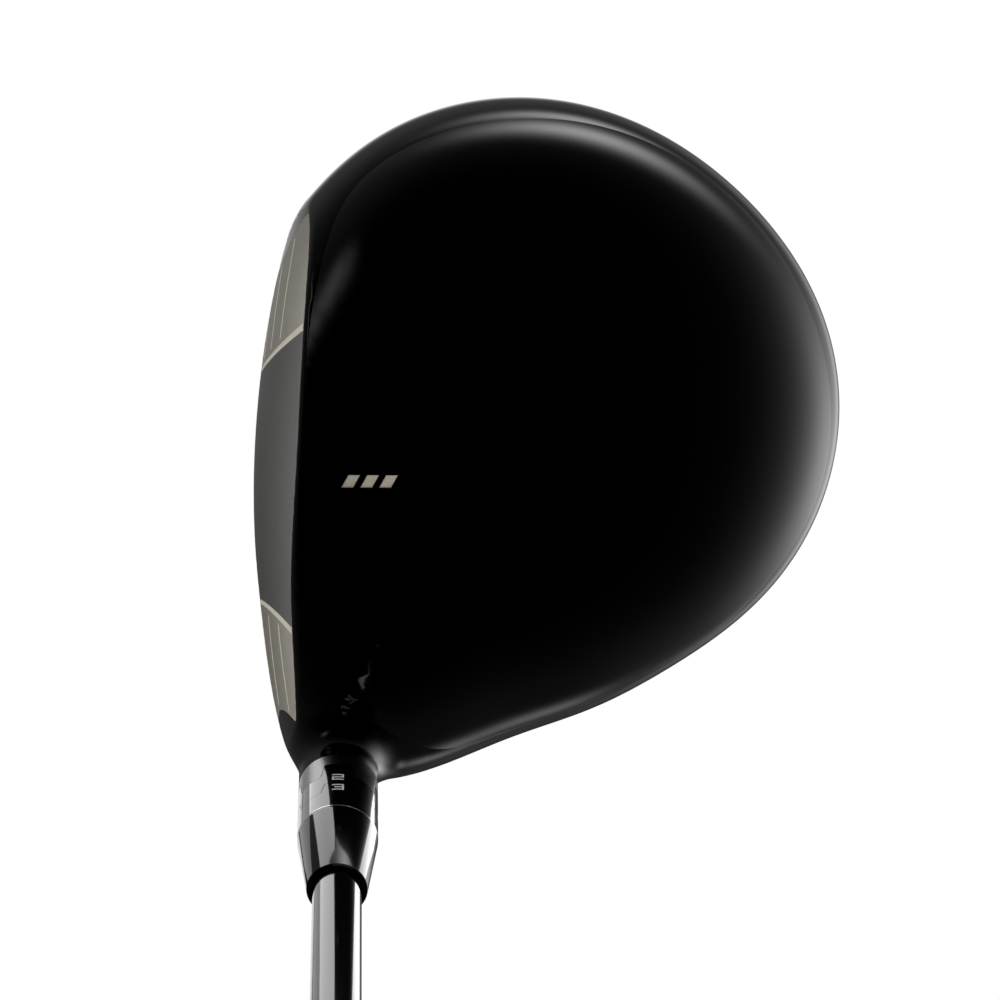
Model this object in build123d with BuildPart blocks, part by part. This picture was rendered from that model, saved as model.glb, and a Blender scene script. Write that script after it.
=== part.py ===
from build123d import *
import math
import os

# A right-handed golf driver with an adjustable hosel, in the address position.
# Millimetres and degrees. +Z is up and the ground is Z = 0. The origin is the centre of the small
# flat pad that the sole rests on. -Y points at the target, +Y to the back of the head,
# +X to the heel and the grip, and -X to the toe.

os.makedirs("parts", exist_ok=True)

# ---------------------------------------------------------------- driving dimensions
LIE_ANGLE = 58.5
CLUB_LENGTH = 1155.7                    # 45.5 in, along the shaft axis from the ground to the cap
AXIS_X, AXIS_Y, AXIS_Z = 65.1, -28.5, 62.0    # where the ferrule meets the sleeve, on the shaft axis

# Head form. Radii of the plan outline every 24 degrees, from the heel (+X) towards the back (+Y).
OUTLINE_RADII = (48.2, 45.4, 48.2, 56.4, 65.3, 71.1, 73.3, 74.1, 70.9, 63.0, 60.4, 63.3, 54.9, 59.0, 60.0)
EQUATOR_HEIGHT, EQUATOR_TILT = 29.5, -0.02    # the head's widest line lies near this plane
CROWN_RISE, CROWN_RISE_X, CROWN_RISE_Y = 28.2, -0.145, -0.12
CROWN_POWERS = (2.5, 2.7)
SOLE_POWERS = (1.75, 1.95)
SOLE_SWEEP = 0.22                       # how much the sole lifts from front to back
PAD_SHARE = 0.15                        # the flat pad, as a share of the outline
LOWER_SHARES = (0.15, 0.3, 0.45, 0.6, 0.73, 0.84, 0.92, 0.97, 0.993)
UPPER_SHARES = (1.0, 0.993, 0.97, 0.92, 0.84, 0.73, 0.6, 0.45, 0.3, 0.15, 0.05)
OUTLINE_STEPS = 36
SHELL_WALL = 1.0

# Face: part of a sphere, so its bulge and roll are equal.
FACE_RADIUS = 265.4
FACE_CENTRE = (0.2, 219.3, -13.3)       # the centre of that sphere
FACE_EDGE_RADIUS = 2.0
FACE_THICKNESS = 3.2
INLAY_DEPTH = 0.25
FRONT_PLANE_Y = -60.0                   # a plane ahead of the face, on which its lines are drawn
FACE_REACH = 40.0                       # how far back from that plane they are cut
SCORE_HEIGHTS = (38.4, 27.9, 17.4, 7.0)
SCORE_TOE_ENDS = (-45.8, -42.2, -36.5, -29.0)
SCORE_HEEL_ENDS = (46.5, 41.0, 34.0, 27.0)
SCORE_WIDTH = 0.9
ZONE_TOP, ZONE_BOTTOM = 60.0, 1.0       # heights between which the zone lines are drawn
ZONE_TOE = (-27.3, -24.8, -23.8)        # the toe-side line's x at the top, middle and bottom
ZONE_HEEL = (31.4, 22.7, 20.3)
ZONE_WIDTHS = (1.5, 1.0, 0.7)

# Crown panel joint, as plan points going round from the heel towards the back.
CROWN_JOINT = (
    (49.0, -10.5), (46.0, 1.4), (42.0, 13.6), (35.8, 27.0), (28.0, 40.5), (16.5, 52.3), (0.5, 61.3),
    (-16.0, 63.2), (-33.0, 59.0), (-49.0, 49.0), (-60.5, 34.5), (-66.3, 17.0), (-66.3, 1.0),
    (-61.5, -15.0), (-53.0, -26.0), (-42.0, -31.0), (-22.0, -34.3), (2.0, -35.0), (24.0, -33.8),
    (37.5, -30.5), (44.0, -22.5),
)
CROWN_JOINT_LOW, CROWN_REACH = 31.5, 50.0     # the crown panel is cut upwards from this height
NECK_MARGIN = 2.0                       # the panel stops this far short of the neck

# Alignment mark: three slanted bars along the target line.
MARK_X, MARK_Y = 1.2, -23.0
MARK_BARS, MARK_PITCH, MARK_BAR_WIDTH, MARK_BAR_LENGTH, MARK_SLANT = 3, 3.4, 2.2, 2.3, 1.3

# Adjustable hosel. Distances run along the shaft axis from the ferrule joint, down being negative.
HOSEL_RADIUS = 7.2
NECK_TOP = -17.0
HOSEL_TOP = -10.2
RING_TOP = -4.8
TAB_COUNT = 4
RING_TAB_HEIGHT, COLLAR_TAB_HEIGHT = 3.6, 2.5
TAB_TIP_HALF_ANGLE, TAB_BASE_HALF_ANGLE = 19.0, 26.0
SEAM_GAP = 0.06
TAB_FLANK_GAP = 0.10
TAB_OVERLAP = 0.5                       # how far a tab runs into the collar it belongs to
LINER_RADIUS = 6.4                      # the hosel tube inside the neck
NECK_BLEND = 5.0
SLEEVE_BORE_FIT = 0.05
SPIGOT_RADIUS = 5.15
SLEEVE_END = -47.0
SLEEVE_THREAD_TOP = -39.0
SHAFT_TIP_END = -38.0
SHELF_TOP, SHELF_UNDERSIDE = -49.5, -52.0
PORT_RADIUS = 5.0
PORT_LENGTH = 30.0

SCREW_RADIUS = 2.5                      # M5
THREAD_CLEARANCE = 0.08
SHELF_HOLE_GAP = 0.3                    # radial, where the screw passes the shelf
SCREW_HOLE_GAP = 0.1                    # radial, where a screw passes a washer or the weight
WASHER_GAP = 0.05                       # between shelf, washer and screw head
SCREW_HEAD_RADIUS, SCREW_HEAD_HEIGHT = 4.0, 4.0
SCREW_TIP = -40.5
SOCKET_LOBE_RADIUS, SOCKET_DEPTH, WEIGHT_SOCKET_DEPTH = 2.0, 2.6, 2.2
SOCKET_CORE, SOCKET_PITCH, SOCKET_LOBE = 0.82, 0.78, 0.3    # shares of the lobe radius
WASHER_THICKNESS, WASHER_RADIUS = 0.4, 4.5

NUMERAL_HEIGHT, NUMERAL_WIDTH, NUMERAL_STROKE, NUMERAL_DEPTH = 1.9, 2.15, 0.34, 0.1
RING_NUMERAL_AT = -9.3
COLLAR_NUMERAL_AT = -5.9

# Ferrule and trim
TRIM_HEIGHT = 0.3
FERRULE_LENGTH = 16.5
FERRULE_SHOULDER = 0.7
FERRULE_TIP_RADIUS = 5.35
FERRULE_LIP = 0.4
FERRULE_RECESS = 2.6

# Shaft, grip
SHAFT_TIP_RADIUS, SHAFT_BUTT_RADIUS = 4.3, 7.6
SHAFT_TIP_BORE, SHAFT_BUTT_BORE = 2.2, 6.6
SHAFT_PARALLEL_TIP = 75.0
GRIP_LENGTH = 267.0
CAP_THICKNESS = 5.0
TAPE_THICKNESS = 0.25
GRIP_MOUTH_RADIUS, GRIP_HAND_RADIUS, GRIP_END_RADIUS = 9.0, 11.6, 13.2
VENT_RADIUS = 1.4
CAP_PLUG_LENGTH, CAP_PLUG_RADIUS, CAP_ROUND = 3.0, 6.5, 3.0
GRIP_TAPER_LENGTH = 20.0                # the shaft reaches its full size this far before the grip
GRIP_MOUTH_CHAMFER, GRIP_MOUTH_LENGTH = 0.6, 2.0
GRIP_SWELL_START, GRIP_SWELL_END = 110.0, 9.0     # below the cap, where the grip thickens
TAPE_MARGIN = 1.0

# Rear weight, screwed into a boss in the sole
WEIGHT_SEAT = (-8.0, 49.0, 10.2)        # centre of its outer face
WEIGHT_OUT = (0.0, 0.44, -0.90)         # the direction it comes out
WEIGHT_RADIUS, WEIGHT_THICKNESS = 9.0, 6.0
WEIGHT_FIT = 0.1
WEIGHT_REACH = 12.0                     # cuts for the weight start this far outside it
BOSS_RADIUS, BOSS_FLOOR = 11.2, 7.0
WEIGHT_SCREW_HEAD_RADIUS, WEIGHT_SCREW_HEAD_HEIGHT = 3.8, 3.2
WEIGHT_SCREW_LENGTH = 6.4               # how deep its hole goes below the weight
HEAD_INSET = 0.3                        # how far the screw head sits below the weight and clears its pocket
SCREW_END_GAP = 0.3
CHAMFER = 0.5

# ---------------------------------------------------------------- helpers
axis_point = Vector(AXIS_X, AXIS_Y, AXIS_Z)
axis_up = Vector(math.cos(math.radians(LIE_ANGLE)), 0, math.sin(math.radians(LIE_ANGLE)))
axis_side = Vector(-axis_up.Z, 0, axis_up.X)    # square to the shaft, towards the crown and up
ground_to_joint = AXIS_Z / axis_up.Z
butt_end = CLUB_LENGTH - ground_to_joint


def axis_plane(along):
    """The plane square to the shaft axis at a distance along it."""
    return Plane(origin=axis_point + axis_up * along, x_dir=axis_side, z_dir=axis_up)


def outward_plane(along, clocking, radius=0.0):
    """A plane that faces outwards at a radius from the shaft axis, its y pointing down the shaft."""
    facing = axis_side.rotate(Axis((0, 0, 0), axis_up), clocking)
    origin = axis_point + axis_up * along + facing * radius
    return Plane(origin=origin, x_dir=axis_up.cross(facing) * -1, z_dir=facing)


def outline_radius(angle):
    """The plan outline's radius at an angle, a smooth curve through OUTLINE_RADII."""
    count = len(OUTLINE_RADII)
    total = 0.0
    for step, radius in enumerate(OUTLINE_RADII):
        half = (angle - math.tau * step / count) / 2
        weight = 1.0 if abs(math.sin(half)) < 1e-9 else math.sin(count * half) / (count * math.sin(half))
        total += radius * weight
    return total


def level(share, upper, inset):
    """Height at the centre and slopes along X and Y of the flat section at a share of the outline."""
    if upper:
        rise = (1 - share ** CROWN_POWERS[0]) ** (1 / CROWN_POWERS[1])
        height = EQUATOR_HEIGHT + (CROWN_RISE - inset) * rise
        return height, CROWN_RISE_X * rise, EQUATOR_TILT + CROWN_RISE_Y * rise
    reach = (share - PAD_SHARE) / (1 - PAD_SHARE)
    drop = (1 - reach ** SOLE_POWERS[0]) ** (1 / SOLE_POWERS[1])
    sweep = SOLE_SWEEP * reach**2 * (1 - reach**2)
    return EQUATOR_HEIGHT * (1 - drop) + inset * drop, 0.0, EQUATOR_TILT * (1 - drop) + sweep


def section(share, upper, inset):
    """The tilted plane of one section and its outline points, in that plane."""
    height, slope_x, slope_y = level(share, upper, inset)
    plane = Plane(origin=(0, 0, height), x_dir=(1, 0, slope_x), z_dir=(-slope_x, -slope_y, 1))
    points = []
    for step in range(OUTLINE_STEPS):
        angle = math.tau * step / OUTLINE_STEPS
        radius = (outline_radius(angle) - inset) * share
        x, y = radius * math.cos(angle), radius * math.sin(angle)
        points.append(plane.to_local_coords(Vector(x, y, height + slope_x * x + slope_y * y)))
    return plane, points


def head_form(inset):
    """The closed head before the face is cut, or the same form pulled in by a wall."""
    with BuildPart() as form:
        for upper, shares in ((False, LOWER_SHARES), (True, UPPER_SHARES)):
            for share in shares:
                plane, points = section(share, upper, inset)
                with BuildSketch(plane):
                    with BuildLine():
                        Spline(*points, periodic=True)
                    make_face()
        loft()
    return form.part


def tabs(base, height, grow):
    """Four trapezoid tabs hanging down from a collar's lower edge, grown by a gap for their notches."""
    tip = HOSEL_RADIUS * math.sin(math.radians(TAB_TIP_HALF_ANGLE)) + grow
    root = HOSEL_RADIUS * math.sin(math.radians(TAB_BASE_HALF_ANGLE)) + grow
    low, high = height + grow, -TAB_OVERLAP
    inner = SPIGOT_RADIUS - TAB_OVERLAP
    with BuildPart() as group:
        for step in range(TAB_COUNT):
            with BuildSketch(outward_plane(base, 360 / TAB_COUNT * step, inner)):
                with BuildLine():
                    Polyline((-root, high), (root, high), (tip, low), (-tip, low), close=True)
                make_face()
            extrude(amount=HOSEL_RADIUS + 1 - inner)
    return group.part


# Each numeral's strokes on a 2 by 4 grid of half-units: x0, y0, x1, y1 with y upwards.
STROKES = {
    1: ((1, 0, 1, 4),),
    2: ((0, 4, 2, 4), (2, 2, 2, 4), (0, 2, 2, 2), (0, 0, 0, 2), (0, 0, 2, 0)),
    3: ((0, 4, 2, 4), (2, 0, 2, 4), (0.5, 2, 2, 2), (0, 0, 2, 0)),
    4: ((0, 2, 0, 4), (0, 2, 2, 2), (2, 0, 2, 4)),
}


def numerals(along, first, outer):
    """Dial numerals 1 to 4 round a collar, as a thin layer from just under its surface to a radius."""
    unit_x = (NUMERAL_WIDTH - NUMERAL_STROKE) / 2
    unit_y = (NUMERAL_HEIGHT - NUMERAL_STROKE) / 4
    with BuildPart() as group:
        for step in range(TAB_COUNT):
            digit = (first - 1 + step) % TAB_COUNT + 1
            with BuildSketch(outward_plane(along, 360 / TAB_COUNT * step)):
                for x0, y0, x1, y1 in STROKES[digit]:
                    centre = ((x0 + x1 - 2) / 2 * unit_x, (y0 + y1 - 4) / 2 * unit_y)
                    with Locations(centre):
                        Rectangle(
                            abs(x1 - x0) * unit_x + NUMERAL_STROKE,
                            abs(y1 - y0) * unit_y + NUMERAL_STROKE,
                        )
            extrude(amount=HOSEL_RADIUS + 2)
        with BuildSketch(axis_plane(along - NUMERAL_HEIGHT)):
            Circle(outer)
            Circle(HOSEL_RADIUS - NUMERAL_DEPTH, mode=Mode.SUBTRACT)
        extrude(amount=2 * NUMERAL_HEIGHT, mode=Mode.INTERSECT)
    return group.part


def rod(low, high, radius):
    """A plain cylinder on the shaft axis, used to join, cut or intersect."""
    with BuildPart() as piece:
        with BuildSketch(axis_plane(low)):
            Circle(radius)
        extrude(amount=high - low)
    return piece.part


def save(builder, name):
    """Labels a finished sub-part and writes it to its own file."""
    builder.part.label = name
    export_step(builder.part, f"parts/{name}.step")


# ---------------------------------------------------------------- head form
full_form = head_form(0)
hollow_form = head_form(SHELL_WALL)

with BuildPart() as outer_form:
    add(full_form)
    with Locations(FACE_CENTRE):
        Sphere(FACE_RADIUS, mode=Mode.INTERSECT)
    fillet(outer_form.faces().filter_by(GeomType.SPHERE).edges(), radius=FACE_EDGE_RADIUS)
face_surface = outer_form.faces().filter_by(GeomType.SPHERE)[0]

with BuildPart() as cavity:
    add(hollow_form)
    with Locations(FACE_CENTRE):
        Sphere(FACE_RADIUS - FACE_THICKNESS, mode=Mode.INTERSECT)

with BuildPart() as necked_form:
    add(outer_form.part)
    add(rod(SHELF_TOP, NECK_TOP, HOSEL_RADIUS))
    neck_edges = necked_form.faces().filter_by(GeomType.CYLINDER).edges()
    fillet(neck_edges.filter_by(GeomType.BSPLINE), radius=NECK_BLEND)

# ---------------------------------------------------------------- face plate and its inlays
with BuildPart() as face_blank:
    thicken(face_surface, amount=-FACE_THICKNESS)

with BuildPart() as inlay_skin:
    with Locations(FACE_CENTRE):
        Sphere(FACE_RADIUS + FACE_THICKNESS)
        Sphere(FACE_RADIUS - INLAY_DEPTH, mode=Mode.SUBTRACT)
    add(face_blank.part, mode=Mode.INTERSECT)

front_plane = Plane(origin=(0, FRONT_PLANE_Y, 0), x_dir=(1, 0, 0), z_dir=(0, -1, 0))


def zone_edge(ends, side):
    """One edge of a zone line: its three points from top to bottom."""
    heights = (ZONE_TOP, (ZONE_TOP + ZONE_BOTTOM) / 2, ZONE_BOTTOM)
    return [(x + side * width / 2, z) for x, width, z in zip(ends, ZONE_WIDTHS, heights)]


with BuildPart() as face_zone_lines:
    with BuildSketch(front_plane):
        for ends in (ZONE_TOE, ZONE_HEEL):
            left, right = zone_edge(ends, -1), zone_edge(ends, 1)
            with BuildLine():
                ThreePointArc(*left)
                Line(left[-1], right[-1])
                ThreePointArc(*reversed(right))
                Line(right[0], left[0])
            make_face()
    extrude(amount=-FACE_REACH)
    add(inlay_skin.part, mode=Mode.INTERSECT)
save(face_zone_lines, "face_zone_lines")


def zone_x(ends, height):
    """Where a zone line is at a height, near enough to start a score line clear of it."""
    drop = (ZONE_TOP - height) / (ZONE_TOP - ZONE_BOTTOM)
    top, middle, bottom = ends
    return top * (1 - drop) * (1 - 2 * drop) + middle * 4 * drop * (1 - drop) + bottom * drop * (2 * drop - 1)


with BuildPart() as face_score_lines:
    with BuildSketch(front_plane):
        for height, toe_end, heel_end in zip(SCORE_HEIGHTS, SCORE_TOE_ENDS, SCORE_HEEL_ENDS):
            toe_start = zone_x(ZONE_TOE, height) - ZONE_WIDTHS[0]
            heel_start = zone_x(ZONE_HEEL, height) + ZONE_WIDTHS[0]
            for start, end in ((toe_end, toe_start), (heel_start, heel_end)):
                with Locations(((start + end) / 2, height)):
                    Rectangle(end - start, SCORE_WIDTH)
    extrude(amount=-FACE_REACH)
    add(inlay_skin.part, mode=Mode.INTERSECT)
save(face_score_lines, "face_score_lines")

with BuildPart() as face_plate:
    add(face_blank.part)
    add(face_zone_lines.part, mode=Mode.SUBTRACT)
    add(face_score_lines.part, mode=Mode.SUBTRACT)
    add(rod(SHELF_TOP, NECK_TOP, LINER_RADIUS), mode=Mode.SUBTRACT)
save(face_plate, "face_plate")

# ---------------------------------------------------------------- rear weight and its boss
weight_in = Plane(origin=WEIGHT_SEAT, x_dir=(1, 0, 0), z_dir=Vector(*WEIGHT_OUT) * -1)
boss_reach = WEIGHT_REACH + WEIGHT_THICKNESS + BOSS_FLOOR
pocket_reach = WEIGHT_REACH + WEIGHT_THICKNESS + WEIGHT_FIT
screw_hole_depth = WEIGHT_THICKNESS + WEIGHT_SCREW_LENGTH


def weight_rod(start, length, radius):
    """A cylinder on the weight's axis, from a depth below its outer face inwards."""
    with BuildPart() as piece:
        with BuildSketch(weight_in.offset(start)):
            Circle(radius)
        extrude(amount=length)
    return piece.part


with BuildPart() as weight_boss:
    add(weight_rod(-WEIGHT_REACH, boss_reach, BOSS_RADIUS))
    add(outer_form.part, mode=Mode.INTERSECT)
    add(weight_rod(-WEIGHT_REACH, pocket_reach, WEIGHT_RADIUS + WEIGHT_FIT), mode=Mode.SUBTRACT)
    add(weight_rod(0, screw_hole_depth, SCREW_RADIUS + THREAD_CLEARANCE), mode=Mode.SUBTRACT)
save(weight_boss, "weight_boss")

with BuildPart() as rear_weight:
    add(weight_rod(0, WEIGHT_THICKNESS, WEIGHT_RADIUS))
    chamfer(rear_weight.edges().filter_by(GeomType.CIRCLE).sort_by(Axis.Z)[0], length=CHAMFER)
    add(
        weight_rod(0, WEIGHT_SCREW_HEAD_HEIGHT + HEAD_INSET, WEIGHT_SCREW_HEAD_RADIUS + HEAD_INSET),
        mode=Mode.SUBTRACT,
    )
    add(weight_rod(0, WEIGHT_THICKNESS, SCREW_RADIUS + SCREW_HOLE_GAP), mode=Mode.SUBTRACT)
save(rear_weight, "rear_weight")


def socket(plane, depth):
    """A six-lobed wrench socket cut into a screw head."""
    with BuildPart() as recess:
        with BuildSketch(plane):
            Circle(SOCKET_LOBE_RADIUS * SOCKET_CORE)
            with PolarLocations(SOCKET_LOBE_RADIUS * SOCKET_PITCH, 6):
                Circle(SOCKET_LOBE_RADIUS * SOCKET_LOBE)
        extrude(amount=depth)
    return recess.part


screw_shank = screw_hole_depth - HEAD_INSET - SCREW_END_GAP
with BuildPart() as rear_weight_screw:
    add(weight_rod(HEAD_INSET, WEIGHT_SCREW_HEAD_HEIGHT, WEIGHT_SCREW_HEAD_RADIUS))
    add(weight_rod(HEAD_INSET, screw_shank, SCREW_RADIUS))
    add(socket(weight_in.offset(HEAD_INSET), WEIGHT_SOCKET_DEPTH), mode=Mode.SUBTRACT)
save(rear_weight_screw, "rear_weight_screw")

# ---------------------------------------------------------------- hosel tube
with BuildPart() as hosel_tube:
    add(rod(-PORT_LENGTH + SHELF_UNDERSIDE, NECK_TOP, LINER_RADIUS))
    add(outer_form.part, mode=Mode.INTERSECT)
    add(rod(SHELF_TOP, NECK_TOP, LINER_RADIUS))
    add(rod(NECK_TOP, HOSEL_TOP, HOSEL_RADIUS))
    add(rod(SHELF_TOP, HOSEL_TOP, SPIGOT_RADIUS + SLEEVE_BORE_FIT), mode=Mode.SUBTRACT)
    add(rod(SHELF_UNDERSIDE - PORT_LENGTH, SHELF_UNDERSIDE, PORT_RADIUS), mode=Mode.SUBTRACT)
    add(rod(SHELF_UNDERSIDE, SHELF_TOP, SCREW_RADIUS + SHELF_HOLE_GAP), mode=Mode.SUBTRACT)
    add(tabs(HOSEL_TOP, RING_TAB_HEIGHT, TAB_FLANK_GAP), mode=Mode.SUBTRACT)
save(hosel_tube, "hosel_tube")

# ---------------------------------------------------------------- crown and body shells
with BuildPart() as crown_prism:
    with BuildSketch(Plane.XY.offset(CROWN_JOINT_LOW)):
        with BuildLine():
            Spline(*CROWN_JOINT, periodic=True)
        make_face()
    extrude(amount=CROWN_REACH)
    add(rod(SHELF_TOP, HOSEL_RADIUS, HOSEL_RADIUS + NECK_MARGIN), mode=Mode.SUBTRACT)

with BuildPart() as crown_mark:
    with BuildSketch(Plane.XY.offset(CROWN_JOINT_LOW)):
        for bar in range(MARK_BARS):
            y = MARK_Y + (bar - (MARK_BARS - 1) / 2) * MARK_PITCH
            half_x, half_y = MARK_BAR_LENGTH / 2, MARK_BAR_WIDTH / 2
            with BuildLine():
                Polyline(
                    (MARK_X - half_x, y - half_y + MARK_SLANT / 2),
                    (MARK_X - half_x, y + half_y + MARK_SLANT / 2),
                    (MARK_X + half_x, y + half_y - MARK_SLANT / 2),
                    (MARK_X + half_x, y - half_y - MARK_SLANT / 2),
                    close=True,
                )
            make_face()
    extrude(amount=CROWN_REACH)
    add(outer_form.part, mode=Mode.INTERSECT)
    add(Pos(0, 0, -INLAY_DEPTH) * outer_form.part, mode=Mode.SUBTRACT)
save(crown_mark, "crown_mark")

with BuildPart() as crown_shell:
    add(outer_form.part)
    add(cavity.part, mode=Mode.SUBTRACT)
    add(crown_prism.part, mode=Mode.INTERSECT)
    add(face_blank.part, mode=Mode.SUBTRACT)
    add(crown_mark.part, mode=Mode.SUBTRACT)
save(crown_shell, "crown_shell")

with BuildPart() as body_shell:
    add(necked_form.part)
    add(cavity.part, mode=Mode.SUBTRACT)
    add(crown_prism.part, mode=Mode.SUBTRACT)
    add(face_blank.part, mode=Mode.SUBTRACT)
    add(weight_rod(-WEIGHT_REACH, boss_reach, BOSS_RADIUS), mode=Mode.SUBTRACT)
    add(rod(SHELF_UNDERSIDE - PORT_LENGTH, NECK_TOP + 1, LINER_RADIUS), mode=Mode.SUBTRACT)
save(body_shell, "body_shell")

# ---------------------------------------------------------------- setting ring and its numerals
with BuildPart() as ring_numerals:
    add(numerals(RING_NUMERAL_AT, 2, HOSEL_RADIUS))
save(ring_numerals, "ring_numerals")

with BuildPart() as setting_ring:
    add(tabs(HOSEL_TOP, RING_TAB_HEIGHT, 0))
    add(rod(HOSEL_TOP - HOSEL_RADIUS, RING_TOP, HOSEL_RADIUS), mode=Mode.INTERSECT)
    add(rod(HOSEL_TOP + SEAM_GAP, RING_TOP - SEAM_GAP, HOSEL_RADIUS))
    add(rod(HOSEL_TOP - HOSEL_RADIUS, RING_TOP, SPIGOT_RADIUS + SLEEVE_BORE_FIT), mode=Mode.SUBTRACT)
    add(tabs(RING_TOP, COLLAR_TAB_HEIGHT, TAB_FLANK_GAP), mode=Mode.SUBTRACT)
    add(numerals(RING_NUMERAL_AT, 2, HOSEL_RADIUS + 1), mode=Mode.SUBTRACT)
save(setting_ring, "setting_ring")

# ---------------------------------------------------------------- shaft sleeve
with BuildPart() as sleeve_numerals:
    add(numerals(COLLAR_NUMERAL_AT, 3, HOSEL_RADIUS))
save(sleeve_numerals, "sleeve_numerals")

with BuildPart() as shaft_sleeve:
    add(tabs(RING_TOP, COLLAR_TAB_HEIGHT, 0))
    add(rod(HOSEL_TOP, 0, HOSEL_RADIUS), mode=Mode.INTERSECT)
    add(rod(RING_TOP, 0, HOSEL_RADIUS))
    add(rod(SLEEVE_END, RING_TOP, SPIGOT_RADIUS))
    add(rod(SHAFT_TIP_END, 1, SHAFT_TIP_RADIUS), mode=Mode.SUBTRACT)
    add(rod(SLEEVE_END, SLEEVE_THREAD_TOP, SCREW_RADIUS + THREAD_CLEARANCE), mode=Mode.SUBTRACT)
    add(numerals(COLLAR_NUMERAL_AT, 3, HOSEL_RADIUS + 1), mode=Mode.SUBTRACT)
save(shaft_sleeve, "shaft_sleeve")

# ---------------------------------------------------------------- hosel screw and washer
washer_low = SHELF_UNDERSIDE - WASHER_GAP - WASHER_THICKNESS
head_low = washer_low - WASHER_GAP - SCREW_HEAD_HEIGHT

with BuildPart() as screw_washer:
    with BuildSketch(axis_plane(washer_low)):
        Circle(WASHER_RADIUS)
        Circle(SCREW_RADIUS + SCREW_HOLE_GAP, mode=Mode.SUBTRACT)
    extrude(amount=WASHER_THICKNESS)
save(screw_washer, "screw_washer")

with BuildPart() as hosel_screw:
    add(rod(head_low, head_low + SCREW_HEAD_HEIGHT, SCREW_HEAD_RADIUS))
    chamfer(hosel_screw.edges().filter_by(GeomType.CIRCLE).sort_by(Axis.Z)[0], length=CHAMFER)
    add(rod(head_low, SCREW_TIP, SCREW_RADIUS))
    add(socket(axis_plane(head_low), SOCKET_DEPTH), mode=Mode.SUBTRACT)
save(hosel_screw, "hosel_screw")


# ---------------------------------------------------------------- turned pieces on the shaft
def turned(points):
    """A solid turned about the shaft axis from (radius, distance along) points."""
    profile = Plane(origin=axis_point, x_dir=axis_side, z_dir=axis_side.cross(axis_up))
    with BuildPart() as piece:
        with BuildSketch(profile):
            with BuildLine():
                Polyline(*points, close=True)
            make_face()
        revolve(axis=Axis(axis_point, axis_up))
    return piece.part


with BuildPart() as ferrule_trim:
    add(rod(0, TRIM_HEIGHT, HOSEL_RADIUS))
    add(rod(0, TRIM_HEIGHT, SHAFT_TIP_RADIUS), mode=Mode.SUBTRACT)
save(ferrule_trim, "ferrule_trim")

with BuildPart() as ferrule:
    add(
        turned(
            (
                (SHAFT_TIP_RADIUS, TRIM_HEIGHT),
                (HOSEL_RADIUS, TRIM_HEIGHT),
                (HOSEL_RADIUS, FERRULE_SHOULDER),
                (FERRULE_TIP_RADIUS, FERRULE_LENGTH),
                (FERRULE_TIP_RADIUS - FERRULE_LIP, FERRULE_LENGTH),
                (FERRULE_TIP_RADIUS - FERRULE_LIP, FERRULE_LENGTH - FERRULE_RECESS),
                (SHAFT_TIP_RADIUS, FERRULE_LENGTH - FERRULE_RECESS),
            )
        )
    )
save(ferrule, "ferrule")

grip_start = butt_end - GRIP_LENGTH
shaft_end = butt_end - CAP_THICKNESS

with BuildPart() as shaft:
    add(
        turned(
            (
                (SHAFT_TIP_BORE, SHAFT_TIP_END),
                (SHAFT_TIP_RADIUS, SHAFT_TIP_END),
                (SHAFT_TIP_RADIUS, SHAFT_PARALLEL_TIP),
                (SHAFT_BUTT_RADIUS, grip_start - GRIP_TAPER_LENGTH),
                (SHAFT_BUTT_RADIUS, shaft_end),
                (SHAFT_BUTT_BORE, shaft_end),
                (SHAFT_BUTT_BORE, grip_start - GRIP_TAPER_LENGTH),
            )
        )
    )
save(shaft, "shaft")

grip_bore = SHAFT_BUTT_RADIUS + TAPE_THICKNESS
with BuildPart() as grip_tape:
    add(rod(grip_start + TAPE_MARGIN, shaft_end - TAPE_MARGIN, grip_bore))
    add(rod(grip_start + TAPE_MARGIN, shaft_end - TAPE_MARGIN, SHAFT_BUTT_RADIUS), mode=Mode.SUBTRACT)
save(grip_tape, "grip_tape")

with BuildPart() as grip:
    add(
        turned(
            (
                (grip_bore, grip_start),
                (GRIP_MOUTH_RADIUS - GRIP_MOUTH_CHAMFER, grip_start),
                (GRIP_MOUTH_RADIUS, grip_start + GRIP_MOUTH_LENGTH),
                (GRIP_HAND_RADIUS, butt_end - GRIP_SWELL_START),
                (GRIP_END_RADIUS, butt_end - GRIP_SWELL_END),
                (GRIP_END_RADIUS, shaft_end),
                (grip_bore, shaft_end),
            )
        )
    )
save(grip, "grip")

with BuildPart() as grip_cap:
    add(rod(shaft_end, butt_end, GRIP_END_RADIUS))
    fillet(grip_cap.edges().filter_by(GeomType.CIRCLE).sort_by(Axis.Z)[-1], radius=CAP_ROUND)
    add(rod(shaft_end - CAP_PLUG_LENGTH, shaft_end, CAP_PLUG_RADIUS))
    add(rod(shaft_end - CAP_PLUG_LENGTH, butt_end, VENT_RADIUS), mode=Mode.SUBTRACT)
save(grip_cap, "grip_cap")

print("head volume cc", round(outer_form.part.volume / 1000, 1))
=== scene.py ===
import math

import bpy
import numpy as np
from mathutils import Matrix, Vector


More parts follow.
